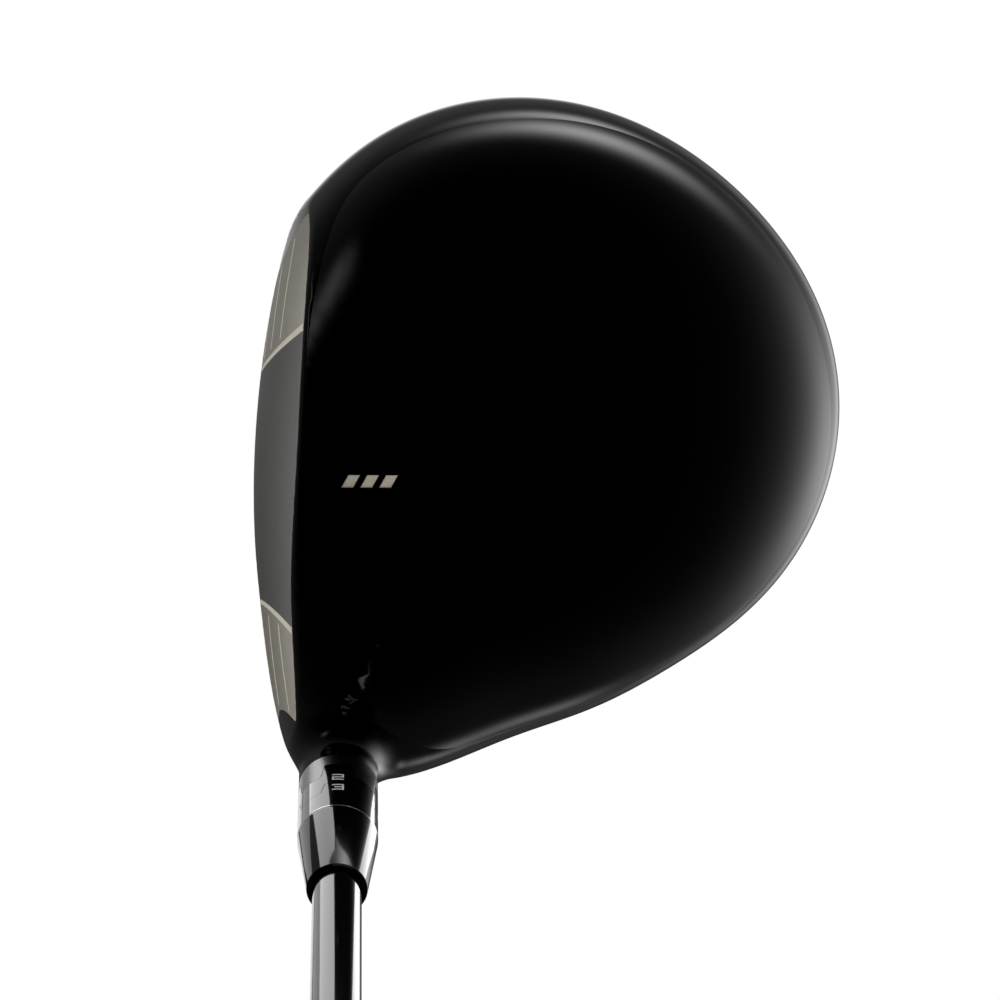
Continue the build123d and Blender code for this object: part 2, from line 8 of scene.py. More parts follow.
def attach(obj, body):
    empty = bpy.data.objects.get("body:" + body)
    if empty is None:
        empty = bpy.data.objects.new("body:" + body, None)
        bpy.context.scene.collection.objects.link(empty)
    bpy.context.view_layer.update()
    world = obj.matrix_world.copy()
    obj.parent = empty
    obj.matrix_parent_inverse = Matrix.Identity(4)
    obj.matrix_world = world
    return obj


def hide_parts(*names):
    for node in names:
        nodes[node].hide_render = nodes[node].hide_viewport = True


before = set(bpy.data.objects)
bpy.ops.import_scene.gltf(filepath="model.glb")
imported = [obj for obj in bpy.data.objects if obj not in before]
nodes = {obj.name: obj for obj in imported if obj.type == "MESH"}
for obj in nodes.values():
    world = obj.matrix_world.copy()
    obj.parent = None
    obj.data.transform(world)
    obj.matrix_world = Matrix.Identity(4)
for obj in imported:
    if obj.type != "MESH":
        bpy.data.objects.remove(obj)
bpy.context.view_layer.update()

# A golf driver at address. Shapes are worked out in millimetres in the row frame and written to
# the meshes in metres. The big glossy skins repeat the CAD's own head form, far more finely than
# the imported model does, so that reflections run smoothly over them.

scene = bpy.context.scene
MM = 0.001

# ---------------------------------------------------------------- the CAD's dimensions
LIE = math.radians(58.5)
AXIS_POINT = np.array((65.1, -28.5, 62.0))
AXIS_UP = np.array((math.cos(LIE), 0.0, math.sin(LIE)))
AXIS_SIDE = np.array((-math.sin(LIE), 0.0, math.cos(LIE)))
AXIS_CROSS = np.array((0.0, 1.0, 0.0))
BUTT_END = 1155.7 - 62.0 / math.sin(LIE)

OUTLINE = (48.2, 45.4, 48.2, 56.4, 65.3, 71.1, 73.3, 74.1, 70.9, 63.0, 60.4, 63.3, 54.9, 59.0, 60.0)
EQUATOR, EQUATOR_TILT = 29.5, -0.02
RISE, RISE_X, RISE_Y = 28.2, -0.145, -0.12
CROWN_POWERS = (2.5, 2.7)
SOLE_POWERS = (1.75, 1.95)
SOLE_SWEEP, PAD = 0.22, 0.15
FACE_RADIUS = 265.4
FACE_CENTRE = np.array((0.2, 219.3, -13.3))
FACE_EDGE_RADIUS = 1.8
NECK_RADIUS, NECK_TOP, NECK_LOW, NECK_BLEND = 7.2, -17.0, -49.5, 5.0
LINER_RADIUS = 6.4
WEIGHT_SEAT = np.array((-8.0, 49.0, 10.2))
WEIGHT_OUT = np.array((0.0, 0.44, -0.90)) / math.hypot(0.44, 0.90)
BOSS_RADIUS = 11.2
CROWN_LOW = 31.5

CROWN_JOINT = np.array((
    (49.0, -10.5), (46.0, 1.4), (42.0, 13.6), (35.8, 27.0), (28.0, 40.5), (16.5, 52.3), (0.5, 61.3),
    (-16.0, 63.2), (-33.0, 59.0), (-49.0, 49.0), (-60.5, 34.5), (-66.3, 17.0), (-66.3, 1.0),
    (-61.5, -15.0), (-53.0, -26.0), (-42.0, -31.0), (-22.0, -34.3), (2.0, -35.0), (24.0, -33.8),
    (37.5, -30.5), (44.0, -22.5),
))
# How deep the crease along the joint is, at each of those points.
CREASE = np.array((1, 1, 1, 1, 1, 1, 1, 1, 1, 1, 1, 1, 1, 1, 1, 0.9, 0.6, 0.25, 0.0, 0.1, 0.6))
CREASE_DEPTH, CREASE_INSIDE, CREASE_OUTSIDE = 0.9, 4.5, 4.0


def smooth(low, high, value):
    t = np.clip((value - low) / (high - low), 0, 1)
    return t * t * (3 - 2 * t)


def closed_spline(points, samples):
    """A smooth closed curve through the points, as evenly timed samples; further columns run along."""
    count = len(points)
    steps = np.linalg.norm(np.roll(points[:, :2], -1, 0) - points[:, :2], axis=1)
    times = np.concatenate(((0.0,), np.cumsum(steps)))
    matrix, right = np.zeros((count, count)), np.zeros((count, points.shape[1]))
    for i in range(count):
        before, after = steps[i - 1], steps[i]
        matrix[i, i - 1] += before
        matrix[i, i] += 2 * (before + after)
        matrix[i, (i + 1) % count] += after
        rise = (points[(i + 1) % count] - points[i]) / after - (points[i] - points[i - 1]) / before
        right[i] = 6 * rise
    bend = np.linalg.solve(matrix, right)
    at = np.linspace(0, times[-1], samples, endpoint=False)
    span = np.clip(np.searchsorted(times, at, side="right") - 1, 0, count - 1)
    h = steps[span][:, None]
    a = (times[span + 1] - at)[:, None]
    b = (at - times[span])[:, None]
    p0, p1 = points[span], points[(span + 1) % count]
    m0, m1 = bend[span], bend[(span + 1) % count]
    return (
        m0 * a**3 / (6 * h) + m1 * b**3 / (6 * h)
        + (p0 / h - m0 * h / 6) * a + (p1 / h - m1 * h / 6) * b
    )


joint_curve = closed_spline(np.column_stack((CROWN_JOINT, CREASE)), 2100)
joint_points, joint_crease = joint_curve[:, :2], np.clip(joint_curve[:, 2], 0, 1)
joint_tangent = np.roll(joint_points, -1, 0) - np.roll(joint_points, 1, 0)
joint_tangent /= np.linalg.norm(joint_tangent, axis=1)[:, None]
joint_normal = np.column_stack((joint_tangent[:, 1], -joint_tangent[:, 0]))
COARSE = 14


def joint_distance(x, y):
    """Signed distance in plan from the crown's joint, negative inside it, and the crease's depth there."""
    flat = np.column_stack((np.ravel(x), np.ravel(y)))
    out, depth = np.empty(len(flat)), np.empty(len(flat))
    coarse = joint_points[::COARSE]
    reach = np.arange(-COARSE, COARSE + 1)
    for start in range(0, len(flat), 20000):
        part = flat[start:start + 20000]
        near = ((part[:, None, :] - coarse[None]) ** 2).sum(2).argmin(1) * COARSE
        index = (near[:, None] + reach[None]) % len(joint_points)
        best = ((part[:, None, :] - joint_points[index]) ** 2).sum(2).argmin(1)
        pick = index[np.arange(len(part)), best]
        out[start:start + 20000] = ((part - joint_points[pick]) * joint_normal[pick]).sum(1)
        depth[start:start + 20000] = joint_crease[pick]
    return out.reshape(np.shape(x)), depth.reshape(np.shape(x))


def outline(angle):
    total = np.zeros_like(angle)
    count = len(OUTLINE)
    for step, radius in enumerate(OUTLINE):
        half = (angle - math.tau * step / count) / 2
        low = np.abs(np.sin(half)) < 1e-9
        safe = np.where(low, 1.0, np.sin(half))
        total += radius * np.where(low, 1.0, np.sin(count * half) / (count * safe))
    return total


def groove(x, y):
    distance, depth = joint_distance(x, y)
    fade = np.where(distance < 0, CREASE_INSIDE, CREASE_OUTSIDE)
    return CREASE_DEPTH * depth * np.exp(-np.abs(distance) / fade)


def form_distance(x, y, z, radius, dip):
    """About the distance outside the closed head form, before the face is cut, and its normal there."""
    share = np.hypot(x, y) / radius
    equator = EQUATOR + EQUATOR_TILT * y
    span = RISE + RISE_X * x + RISE_Y * y
    high = np.maximum((z + dip - equator) / span, 0)
    upper = share ** CROWN_POWERS[0] + high ** CROWN_POWERS[1] - 1
    upper_slope = np.hypot(
        CROWN_POWERS[0] * share ** (CROWN_POWERS[0] - 1) / radius,
        CROWN_POWERS[1] * high ** (CROWN_POWERS[1] - 1) / span,
    )
    reach = np.maximum(share - PAD, 0) / (1 - PAD)
    lift = SOLE_SWEEP * reach**2 * (1 - reach**2)
    deep = np.maximum((equator + lift * y - z) / equator, 0)
    lower = reach ** SOLE_POWERS[0] + deep ** SOLE_POWERS[1] - 1
    lower_slope = np.hypot(
        SOLE_POWERS[0] * reach ** (SOLE_POWERS[0] - 1) / (radius * (1 - PAD)),
        SOLE_POWERS[1] * deep ** (SOLE_POWERS[1] - 1) / equator,
    )
    top = z >= equator
    slope = np.maximum(np.where(top, upper_slope, lower_slope), 0.01)
    outwards = np.where(
        top,
        CROWN_POWERS[0] * share ** (CROWN_POWERS[0] - 1) / radius,
        SOLE_POWERS[0] * reach ** (SOLE_POWERS[0] - 1) / (radius * (1 - PAD)),
    ) / slope
    upwards = np.sqrt(np.maximum(1 - outwards**2, 0)) * np.where(top, 1, -1)
    far = np.maximum(np.hypot(x, y), 1e-6)
    normal = (outwards * x / far, outwards * y / far, upwards)
    return np.where(top, upper, lower) / slope, normal


def face_distance(x, y, z):
    square = (x - FACE_CENTRE[0]) ** 2 + (y - FACE_CENTRE[1]) ** 2 + (z - FACE_CENTRE[2]) ** 2
    return np.sqrt(square) - FACE_RADIUS


def edge_reach(x, y, z, normal):
    """How far in from the sharp edge the round between face and form starts."""
    away = (x - FACE_CENTRE[0], y - FACE_CENTRE[1], z - FACE_CENTRE[2])
    facing = (normal[0] * away[0] + normal[1] * away[1] + normal[2] * away[2]) / FACE_RADIUS
    return np.maximum(FACE_EDGE_RADIUS * (1 - np.clip(facing, -1, 1)), 0.1)


def on_axis(x, y, z):
    """Distance along the shaft axis and off it."""
    dx, dy, dz = x - AXIS_POINT[0], y - AXIS_POINT[1], z - AXIS_POINT[2]
    along = dx * AXIS_UP[0] + dz * AXIS_UP[2]
    off = np.sqrt(np.maximum(dx**2 + dy**2 + dz**2 - along**2, 0))
    return along, off


def head_field(x, y, z, radius=None, dip=None):
    """Below zero inside the head: form and face joined by a small round, and the neck by a blend."""
    if radius is None:
        radius = outline(np.arctan2(y, x))
    if dip is None:
        dip = groove(x, y)
    form, normal = form_distance(x, y, z, radius, dip)
    face, edge = face_distance(x, y, z), edge_reach(x, y, z, normal)
    body = np.minimum(-edge, np.maximum(form, face)) + np.hypot(
        np.maximum(form + edge, 0), np.maximum(face + edge, 0)
    )
    along, off = on_axis(x, y, z)
    neck = np.maximum(off - NECK_RADIUS, NECK_LOW - along)
    return np.maximum(NECK_BLEND, np.minimum(body, neck)) - np.hypot(
        np.maximum(NECK_BLEND - body, 0), np.maximum(NECK_BLEND - neck, 0)
    )


def gradient(points, step=0.04):
    out = np.empty_like(points)
    for k in range(3):
        ahead, behind = points.copy(), points.copy()
        ahead[:, k] += step
        behind[:, k] -= step
        out[:, k] = (head_field(*ahead.T) - head_field(*behind.T)) / (2 * step)
    return out


def settle(points, rounds):
    """Moves points onto the head's surface."""
    for _ in range(rounds):
        slope = gradient(points)
        value = head_field(*points.T)
        move = value / np.maximum((slope**2).sum(1), 0.05)
        points = points - np.clip(move, -1.5, 1.5)[:, None] * slope
    return points


# ---------------------------------------------------------------- the head's skin as one fine mesh
def skin(step):
    """Quads over the surface where head_field is zero."""
    axes = [np.arange(low, high, step) for low, high in ((-80.0, 72.0), (-58.0, 80.0), (-2.5, 64.0))]
    x, y = np.meshgrid(axes[0], axes[1], indexing="ij")
    radius, dip = outline(np.arctan2(y, x)), groove(x, y)
    value = head_field(
        x[..., None], y[..., None], axes[2][None, None, :], radius[..., None], dip[..., None]
    )
    inside = value < 0
    shape = np.array(value.shape) - 1
    corners = [(i, j, k) for i in (0, 1) for j in (0, 1) for k in (0, 1)]
    count = np.zeros(shape, int)
    for i, j, k in corners:
        count += inside[i:shape[0] + i, j:shape[1] + j, k:shape[2] + k]
    cells = np.argwhere((count > 0) & (count < 8))
    index = np.full(shape, -1)
    index[tuple(cells.T)] = np.arange(len(cells))
    total, crossings = np.zeros((len(cells), 3)), np.zeros(len(cells))
    for a in corners:
        for k in range(3):
            if a[k]:
                continue
            b = list(a)
            b[k] = 1
            va, vb = value[tuple((cells + a).T)], value[tuple((cells + b).T)]
            cut = (va < 0) != (vb < 0)
            part = np.where(cut, va / np.where(cut, va - vb, 1), 0)
            place = np.array(a, float) + part[:, None] * (np.array(b) - np.array(a))
            total += np.where(cut[:, None], place, 0)
            crossings += cut
    points = (cells + total / crossings[:, None]) * step + [axis[0] for axis in axes]
    quads = []
    for k in range(3):
        i, j = [m for m in range(3) if m != k]
        after = [slice(None)] * 3
        before = [slice(None)] * 3
        after[k], before[k] = slice(1, None), slice(None, -1)
        found = np.argwhere(inside[tuple(before)] != inside[tuple(after)])
        found = found[(found[:, i] > 0) & (found[:, j] > 0)]
        found = found[(found[:, i] < shape[i]) & (found[:, j] < shape[j])]
        ring = []
        for di, dj in ((0, 0), (1, 0), (1, 1), (0, 1)):
            cell = found.copy()
            cell[:, i] -= di
            cell[:, j] -= dj
            ring.append(index[tuple(cell.T)])
        ring = np.column_stack(ring)
        outward = inside[tuple(found.T)] ^ (k == 1)
        quads.append(np.where(outward[:, None], ring, ring[:, ::-1]))
    quads = np.concatenate(quads)
    return points, quads[(quads >= 0).all(1)]


def relax(points, quads, rounds):
    """Evens out the quads along the surface."""
    for _ in range(rounds):
        total, number = np.zeros_like(points), np.zeros(len(points))
        for a in range(4):
            b = (a + 1) % 4
            np.add.at(total, quads[:, a], points[quads[:, b]])
            np.add.at(total, quads[:, b], points[quads[:, a]])
            np.add.at(number, quads[:, a], 1)
            np.add.at(number, quads[:, b], 1)
        points = settle(0.5 * points + 0.5 * total / np.maximum(number, 1)[:, None], 2)
    return points


class Skin:
    """A patch of the head: shared points, with its quads and triangles."""

    def __init__(self, points, quads, tris):
        self.points, self.quads, self.tris = points, quads, tris

    def split(self, measure):
        """Cuts the patch where measure is zero; returns the parts below and above zero."""
        value = measure(self.points)
        below_quad = (value[self.quads] < 0).sum(1)
        mixed = self.quads[(below_quad > 0) & (below_quad < 4)]
        diagonal = np.linalg.norm(self.points[mixed[:, 0]] - self.points[mixed[:, 2]], axis=1)
        other = np.linalg.norm(self.points[mixed[:, 1]] - self.points[mixed[:, 3]], axis=1)
        first, second = mixed[diagonal <= other], mixed[diagonal > other]
        tris = np.concatenate((
            self.tris, first[:, (0, 1, 2)], first[:, (0, 2, 3)], second[:, (0, 1, 3)], second[:, (1, 2, 3)],
        ))
        below_tri = (value[tris] < 0).sum(1)
        parts = {True: [tris[below_tri == 3]], False: [tris[below_tri == 0]]}
        cut = tris[(below_tri == 1) | (below_tri == 2)]
        if len(cut):
            sign = value[cut] < 0
            lone = np.where((below_tri[(below_tri == 1) | (below_tri == 2)] == 1)[:, None], sign, ~sign)
            turn = lone.argmax(1)
            rows = np.arange(len(cut))
            a, b, c = (cut[rows, (turn + k) % 3] for k in range(3))
            pairs = np.sort(np.concatenate((np.column_stack((a, b)), np.column_stack((a, c)))), axis=1)
            unique, where = np.unique(pairs, axis=0, return_inverse=True)
            where = np.ravel(where)
            v0, v1 = value[unique[:, 0]], value[unique[:, 1]]
            share = (v0 / (v0 - v1))[:, None]
            fresh = self.points[unique[:, 0]] * (1 - share) + self.points[unique[:, 1]] * share
            fresh = settle(fresh, 2)
            first_new = len(self.points)
            self_points = np.concatenate((self.points, fresh))
            ab, ac = where[:len(cut)] + first_new, where[len(cut):] + first_new
            tip = np.column_stack((a, ab, ac))
            rest = np.concatenate((np.column_stack((ab, b, c)), np.column_stack((ab, c, ac))))
            tip_below = value[a] < 0
            rest_below = np.concatenate((~tip_below, ~tip_below))
            for key in (True, False):
                parts[key].append(tip[tip_below == key])
                parts[key].append(rest[rest_below == key])
        else:
            self_points = self.points
        inner = Skin(self_points, self.quads[below_quad == 4], np.concatenate(parts[True]))
        outer = Skin(self_points, self.quads[below_quad == 0], np.concatenate(parts[False]))
        return inner, outer

    def used(self):
        keep = np.unique(np.concatenate((self.quads.ravel(), self.tris.ravel())))
        renumber = np.full(len(self.points), -1)
        renumber[keep] = np.arange(len(keep))
        return self.points[keep], renumber[self.quads], renumber[self.tris]


def mesh_object(name, points, polygons, normals=None):
    """A mesh object from points in millimetres."""
    mesh = bpy.data.meshes.new(name)
    mesh.from_pydata((np.asarray(points) * MM).tolist(), [], polygons)
    mesh.update()
    mesh.shade_smooth()
    if normals is not None:
        mesh.normals_split_custom_set_from_vertices(normals.tolist())
    piece = bpy.data.objects.new(name, mesh)
    scene.collection.objects.link(piece)
    return piece


def skin_object(name, patch, pull=None):
    """A piece of the head's skin. pull is the plan shift that keeps an edge's normal on its own side."""
    points, quads, tris = patch.used()
    at = points if pull is None else points + pull(points)
    slope = gradient(at)
    normals = slope / np.linalg.norm(slope, axis=1)[:, None]
    return mesh_object(name, points, quads.tolist() + tris.tolist(), normals)


GRID_STEP = 1.1
points, quads = skin(GRID_STEP)
points = relax(settle(points, 3), quads, 3)
whole = Skin(points, quads, np.zeros((0, 3), int))


def above_neck(p):
    along, off = on_axis(*p.T)
    return np.where(off < NECK_RADIUS + 6, along - NECK_TOP, -10.0)


def beyond_port(p):
    along, off = on_axis(*p.T)
    return np.where(along < NECK_LOW, LINER_RADIUS - off, -10.0)


def over_boss(p):
    rel = p - WEIGHT_SEAT
    along = rel @ WEIGHT_OUT
    off = np.sqrt(np.maximum((rel**2).sum(1) - along**2, 0))
    return np.where(along > -12, BOSS_RADIUS - off, -10.0)


def past_edge(p):
    """Distance past the line where the face starts to round over, negative within the face."""
    x, y, z = p.T
    form, normal = form_distance(x, y, z, outline(np.arctan2(y, x)), groove(x, y))
    return form + edge_reach(x, y, z, normal)


def off_face(p):
    edge = np.maximum(past_edge(p), (face_distance(*p.T) - 0.08) * 4)
    return np.maximum(edge, through(PAINT_TOE, p[:, 2]) - p[:, 0])


def off_crown(p):
    x, y, z = p.T
    distance, _ = joint_distance(x, y)
    along, off = on_axis(x, y, z)
    clear = np.where(along > NECK_LOW, NECK_RADIUS + 2 - off, -10.0)
    return np.maximum(np.maximum(distance, clear), np.where(z > EQUATOR + 1, CROWN_LOW - z, 10.0))


ZONE_TOP, ZONE_BOTTOM = 60.0, 1.0
ZONE_TOE = (-27.3, -24.8, -23.8)
ZONE_HEEL = (31.4, 22.7, 20.3)
PAINT_TOE = (-49.6, -44.9, -25.7)      # where the face's coating gives way to the body's black
ZONE_WIDTHS = (1.5, 1.0, 0.7)


def through(ends, z):
    """The quadratic through a zone line's three values, at a height."""
    t = (ZONE_TOP - z) / (ZONE_TOP - ZONE_BOTTOM)
    a, b, c = ends
    return a * (1 - t) * (1 - 2 * t) + b * 4 * t * (1 - t) + c * t * (2 * t - 1)


def off_centre_zone(p):
    x, _, z = p.T
    return np.maximum(through(ZONE_TOE, z) - x, x - through(ZONE_HEEL, z))


whole, _ = whole.split(above_neck)
whole, _ = whole.split(beyond_port)
whole, _ = whole.split(over_boss)
face_skin, rest_skin = whole.split(off_face)
crown_skin, body_skin = rest_skin.split(off_crown)
face_centre_skin, face_side_skin = face_skin.split(off_centre_zone)


def pull_by(side):
    def pull(p):
        distance, _ = joint_distance(p[:, 0], p[:, 1])
        ahead, _ = joint_distance(p[:, 0] + 0.1, p[:, 1])
        across, _ = joint_distance(p[:, 0], p[:, 1] + 0.1)
        near = np.abs(distance) < 0.12
        shift = np.zeros_like(p)
        shift[:, 0] = np.where(near, (ahead - distance) / 0.1 * side, 0)
        shift[:, 1] = np.where(near, (across - distance) / 0.1 * side, 0)
        return shift * 0.15
    return pull


crown = skin_object("crown_skin", crown_skin, pull_by(-1))
body = skin_object("body_skin", body_skin, pull_by(1))
face_centre = skin_object("face_centre", face_centre_skin)
face_sides = skin_object("face_sides", face_side_skin)
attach(crown, "head")
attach(body, "head")
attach(face_centre, "head")
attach(face_sides, "head")
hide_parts("crown_shell")
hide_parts("body_shell")
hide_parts("face_plate")
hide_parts("face_plate")


# ---------------------------------------------------------------- lines in the face
LINE_PROUD = 0.03
SCORE_HEIGHTS = (38.4, 27.9, 17.4, 7.0)
SCORE_TOE_ENDS = (-45.8, -42.2, -36.5, -29.0)
SCORE_HEEL_ENDS = (46.5, 41.0, 34.0, 27.0)
SCORE_WIDTH = 0.9


def on_face(x, z, proud):
    """Points on the face's sphere at x and z, a little outside it."""
    radius = FACE_RADIUS + proud
    y = FACE_CENTRE[1] - np.sqrt(radius**2 - (x - FACE_CENTRE[0]) ** 2 - (z - FACE_CENTRE[2]) ** 2)
    return np.stack((x, y, z), axis=-1)


def strip(centre, side, count, round_ends):
    """A crowned band along centre points (x, z), with its half width at each, laid on the face."""
    profile = ((-1.0, -0.05), (-0.96, 0.6), (-0.7, 1.0), (0.0, 1.15), (0.7, 1.0), (0.96, 0.6), (1.0, -0.05))
    rows = []
    for k in range(count):
        share = k / (count - 1)
        x, z, half = centre(share)
        ahead, behind = centre(min(share + 0.01, 1)), centre(max(share - 0.01, 0))
        run = np.array((ahead[0] - behind[0], ahead[1] - behind[1]))
        run /= np.linalg.norm(run)
        across = np.array((-run[1], run[0]))
        if round_ends:
            end = min(share, 1 - share) * side
            half *= math.sqrt(max(1 - max(1 - end / half, 0) ** 2, 0.02))
        rows.append([
            on_face(x + across[0] * half * u, z + across[1] * half * u, LINE_PROUD * w) for u, w in profile
        ])
    width = len(profile)
    points = np.array(rows).reshape(-1, 3)
    faces = []
    for k in range(count - 1):
        for m in range(width - 1):
            a = k * width + m
            faces.append((a, a + width, a + width + 1, a + 1))
    return points, faces


def joined(name, parts):
    """One object from several sets of points and faces, its faces turned outwards from the face."""
    points, faces, start = [], [], 0
    for part_points, part_faces in parts:
        points.append(part_points)
        faces += [tuple(v + start for v in f) for f in part_faces]
        start += len(part_points)
    return mesh_object(name, np.concatenate(points), faces)


def score(start, end, height):
    """A score line, ended short of the face's edge."""
    along = np.linspace(start, end, 400)
    inside = along[past_edge(on_face(along, np.full(400, height), 0.0)) < -0.5]
    if len(inside) < 20:
        return None
    start, end = inside.min(), inside.max()

    def centre(share):
        return start + (end - start) * share, height, SCORE_WIDTH / 2
    return strip(centre, end - start, 60, True)


scores = []
for height, toe_end, heel_end in zip(SCORE_HEIGHTS, SCORE_TOE_ENDS, SCORE_HEEL_ENDS):
    scores.append(score(toe_end, through(ZONE_TOE, height) - ZONE_WIDTHS[0], height))
    scores.append(score(through(ZONE_HEEL, height) + ZONE_WIDTHS[0], heel_end, height))
score_lines = joined("score_lines", [stroke for stroke in scores if stroke])


def zone_line(ends):
    """A zone line from the face's lower edge to its upper one."""
    heights = np.linspace(0.5, 60, 600)
    points = on_face(through(ends, heights), heights, 0.0)
    inside = heights[off_face(points) < -0.02]
    low, high = inside.min(), inside.max()

    def centre(share):
        z = low + (high - low) * share
        return through(ends, z), z, through(ZONE_WIDTHS, z) / 2
    return strip(centre, high - low, 70, False)


zone_lines = joined("zone_lines", [zone_line(ZONE_TOE), zone_line(ZONE_HEEL)])
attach(score_lines, "head")
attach(zone_lines, "head")
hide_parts("face_score_lines")
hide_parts("face_zone_lines")

# ---------------------------------------------------------------- crown mark
MARK_X, MARK_Y = 1.2, -23.0
MARK_BARS, MARK_PITCH, MARK_WIDTH, MARK_LENGTH, MARK_SLANT = 3, 3.4, 2.2, 2.3, 1.3
MARK_PROUD = 0.03


def mark_bar(y):
    """One slanted bar of paint, laid on the crown with rounded shoulders."""
    size = 9
    edge = np.array((0, 0.02, 0.08, 0.25, 0.5, 0.75, 0.92, 0.98, 1.0))
    lift = np.array((-1.0, 0.7, 1.0, 1.0, 1.0, 1.0, 1.0, 0.7, -1.0))
    rows = []
    for i, u in enumerate(edge):
        for j, v in enumerate(edge):
            px = MARK_X + (u - 0.5) * MARK_LENGTH
            py = y + (v - 0.5) * MARK_WIDTH + (0.5 - u) * MARK_SLANT
            rows.append((px, py, 55.0, min(lift[i], lift[j]) * MARK_PROUD))
    rows = np.array(rows)
    low, high = np.full(len(rows), 45.0), np.full(len(rows), 66.0)
    for _ in range(40):
        middle = (low + high) / 2
        below = head_field(rows[:, 0], rows[:, 1], middle) < 0
        low, high = np.where(below, middle, low), np.where(below, high, middle)
    points = np.column_stack((rows[:, 0], rows[:, 1], low + rows[:, 3]))
    faces = []
    for i in range(size - 1):
        for j in range(size - 1):
            a = i * size + j
            faces.append((a, a + size, a + size + 1, a + 1))
    return points, faces


mark = joined("crown_mark_bars", [mark_bar(MARK_Y + (k - 1) * MARK_PITCH) for k in range(MARK_BARS)])
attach(mark, "head")
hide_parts("crown_mark")

# ---------------------------------------------------------------- turned pieces on the shaft axis
TRIM_HEIGHT, FERRULE_LENGTH, FERRULE_SHOULDER, FERRULE_TIP = 0.3, 16.5, 0.7, 5.35
FERRULE_LIP, FERRULE_RECESS = 0.4, 2.6
SHAFT_TIP, SHAFT_BUTT, SHAFT_PARALLEL, TIP_END = 4.3, 7.6, 75.0, -38.0
TIP_BORE, TIP_EDGE, TIP_BEVEL, BUTT_BORE = 2.2, 3.8, 0.6, 6.6
GRIP_START, SHAFT_END = BUTT_END - 267.0, BUTT_END - 5.0
TAPER_END = GRIP_START - 20
GRIP_BORE = 7.85


def turned(name, profile, segments=128, bump=None):
    """A closed ring of profile points (radius, along) turned about the shaft axis."""
    count = len(profile)
    angles = np.arange(segments) * math.tau / segments
    points = np.empty((segments, count, 3))
    for i, angle in enumerate(angles):
        out = AXIS_SIDE * math.cos(angle) + AXIS_CROSS * math.sin(angle)
        for j, (radius, along) in enumerate(profile):
            r = radius if bump is None else radius + bump(radius, along, angle)
            points[i, j] = AXIS_POINT + out * r + AXIS_UP * along
    faces = []
    for i in range(segments):
        for j in range(count):
            a, b = i * count + j, i * count + (j + 1) % count
            c, d = ((i + 1) % segments) * count + (j + 1) % count, ((i + 1) % segments) * count + j
            faces.append((a, b, c, d))
    return mesh_object(name, points.reshape(-1, 3), faces)


def rounded(corners, size, steps=4):
    """A profile with every corner rounded by its own amount."""
    out = []
    count = len(corners)
    for i, (corner, amount) in enumerate(zip(corners, size)):
        p = np.array(corner, float)
        before, after = np.array(corners[i - 1], float), np.array(corners[(i + 1) % count], float)
        a = p + (before - p) / np.linalg.norm(before - p) * amount
        b = p + (after - p) / np.linalg.norm(after - p) * amount
        for k in range(steps + 1):
            t = k / steps
            out.append(tuple(a * (1 - t) ** 2 + 2 * p * t * (1 - t) + b * t**2))
    return out


trim = turned("trim_ring", rounded(
    ((SHAFT_TIP + 0.02, 0.0), (7.2, 0.0), (7.2, TRIM_HEIGHT), (SHAFT_TIP + 0.02, TRIM_HEIGHT)),
    (0.05, 0.09, 0.09, 0.05),
))
ferrule = turned("ferrule_turned", rounded(
    (
        (SHAFT_TIP + 0.02, TRIM_HEIGHT + 0.02),
        (7.2, TRIM_HEIGHT + 0.02),
        (7.2, FERRULE_SHOULDER),
        (FERRULE_TIP, FERRULE_LENGTH),
        (FERRULE_TIP - FERRULE_LIP, FERRULE_LENGTH),
        (FERRULE_TIP - FERRULE_LIP, FERRULE_LENGTH - FERRULE_RECESS),
        (SHAFT_TIP + 0.02, FERRULE_LENGTH - FERRULE_RECESS),
    ),
    (0.05, 0.14, 0.18, 0.18, 0.1, 0.1, 0.05),
))
shaft_taper = np.linspace(SHAFT_PARALLEL, TAPER_END, 40)
shaft_outer = [(SHAFT_TIP, along) for along in np.linspace(TIP_END + TIP_BEVEL, SHAFT_PARALLEL, 30)]
shaft_outer += [
    (SHAFT_TIP + (SHAFT_BUTT - SHAFT_TIP) * (along - SHAFT_PARALLEL) / (TAPER_END - SHAFT_PARALLEL), along)
    for along in shaft_taper[1:]
]
shaft_profile = [(TIP_BORE, TIP_END), (TIP_EDGE, TIP_END)] + shaft_outer + [
    (SHAFT_BUTT, SHAFT_END), (BUTT_BORE, SHAFT_END), (BUTT_BORE, TAPER_END), (TIP_BORE, SHAFT_PARALLEL)
]
shaft = turned("shaft_tube", shaft_profile, 96)


GRIP_MOUTH, GRIP_MIDDLE, GRIP_BUTT = 9.0, 11.6, 13.2
GRIP_FLARE, GRIP_FULL = BUTT_END - 110, BUTT_END - 9


def grip_radius(along):
    if along < GRIP_FLARE:
        return GRIP_MOUTH + (GRIP_MIDDLE - GRIP_MOUTH) * (along - GRIP_START) / (GRIP_FLARE - GRIP_START)
    return GRIP_MIDDLE + (GRIP_BUTT - GRIP_MIDDLE) * smooth(GRIP_FLARE, GRIP_FULL, along)


GRIP_ROW, GRIP_RIBS, PAD_DEPTH = 2.4, 30, 0.35
BAND_AT, BAND_HALF = BUTT_END - 150, 6


